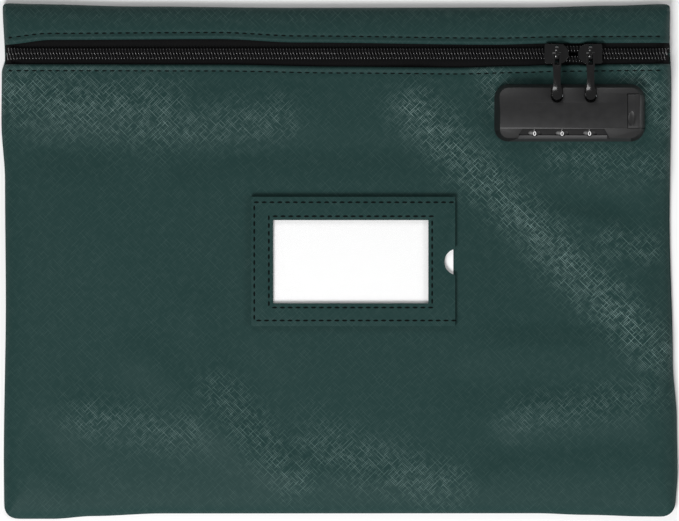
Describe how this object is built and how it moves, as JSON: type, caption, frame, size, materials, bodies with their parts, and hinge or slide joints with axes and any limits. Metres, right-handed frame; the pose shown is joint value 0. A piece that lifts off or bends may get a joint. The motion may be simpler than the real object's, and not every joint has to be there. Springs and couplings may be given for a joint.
{
  "type": "cash deposit bag",
  "caption": "Flat zipped leathercloth money bag with a card window and a combination lock that holds both zip pullers.",
  "frame": {"origin": "middle of the bag's back face, on the surface it lies on", "axes": "+X along the zip towards the lock's end, +Y from the bottom seam towards the zip, +Z out of the front"},
  "size_m": [0.34, 0.259, 0.0216],
  "materials": {
    "leathercloth": "satin, cross-grained, dark green",
    "lining_cloth": "matt black",
    "zip_tape": "matt black, woven",
    "zip_nylon": "black, slightly shiny",
    "slider_metal": "gloss black",
    "lock_plastic": "satin black",
    "steel": "plain zinc plated",
    "card": "matt white card",
    "clear_film": "clear, glossy"
  },
  "bodies": {
    "bag": {"back_panel": "leathercloth", "back_lining": "lining_cloth", "front_panel": "leathercloth", "top_strip": "leathercloth", "front_lining": "lining_cloth", "strip_lining": "lining_cloth", "zipper_tape_lower": "zip_tape", "zipper_coil_lower": "zip_nylon", "zipper_tape_upper": "zip_tape", "zipper_coil_upper": "zip_nylon", "card_frame": "leathercloth", "window_film": "clear_film", "lock_cover": "lock_plastic", "lock_chassis": "lock_plastic", "backing_plate": "steel", "lock_screw_1": "steel", "lock_screw_2": "steel", "lock_screw_3": "steel", "lock_screw_4": "steel", "dial_shaft": "steel", "detent_spring": "steel", "latch_spring": "steel"},
    "slider_left": {"slider_left": "slider_metal"},
    "slider_right": {"slider_right": "slider_metal"},
    "puller_left": {"puller_left": "slider_metal"},
    "puller_right": {"puller_right": "slider_metal"},
    "dial_1": {"dial_1": "lock_plastic", "dial_sleeve_1": "steel"},
    "dial_2": {"dial_2": "lock_plastic", "dial_sleeve_2": "steel"},
    "dial_3": {"dial_3": "lock_plastic", "dial_sleeve_3": "steel"},
    "release": {"release_slide": "lock_plastic", "latch_bar": "steel"},
    "reset": {"reset_pin": "steel"},
    "card": {"name_card": "card"}
  },
  "joints": [
    {"name": "slider_left_travel", "type": "slide", "parent": "bag", "child": "slider_left", "axis": [1, 0, 0], "range_m": [-0.26, 0]},
    {"name": "slider_right_travel", "type": "slide", "parent": "bag", "child": "slider_right", "axis": [1, 0, 0], "range_m": [0, 0.025]},
    {"name": "puller_left_lift", "type": "hinge", "parent": "slider_left", "child": "puller_left", "pos_m": [0.1088, 0.1035, 0.0148], "axis": [-1, 0, 0], "range_deg": [-13, 150]},
    {"name": "puller_right_lift", "type": "hinge", "parent": "slider_right", "child": "puller_right", "pos_m": [0.1256, 0.1035, 0.0148], "axis": [-1, 0, 0], "range_deg": [-13, 150]},
    {"name": "dial_1_turn", "type": "hinge", "parent": "bag", "child": "dial_1", "pos_m": [0.0977, 0.0652, 0.0121], "axis": [1, 0, 0], "continuous": true},
    {"name": "dial_2_turn", "type": "hinge", "parent": "bag", "child": "dial_2", "pos_m": [0.1114, 0.0652, 0.0121], "axis": [1, 0, 0], "continuous": true},
    {"name": "dial_3_turn", "type": "hinge", "parent": "bag", "child": "dial_3", "pos_m": [0.1251, 0.0652, 0.0121], "axis": [1, 0, 0], "continuous": true},
    {"name": "release_travel", "type": "slide", "parent": "bag", "child": "release", "axis": [1, 0, 0], "range_m": [0, 0.003], "stiffness_N_per_m": 400, "springref_m": -0.004, "deforming": ["latch_spring"]},
    {"name": "reset_travel", "type": "slide", "parent": "bag", "child": "reset", "axis": [0, 0, 1], "range_m": [0, 0.0015], "stiffness_N_per_m": 300, "springref_m": -0.002},
    {"name": "card_travel", "type": "slide", "parent": "bag", "child": "card", "axis": [1, 0, 0], "range_m": [0, 0.095]}
  ]
}
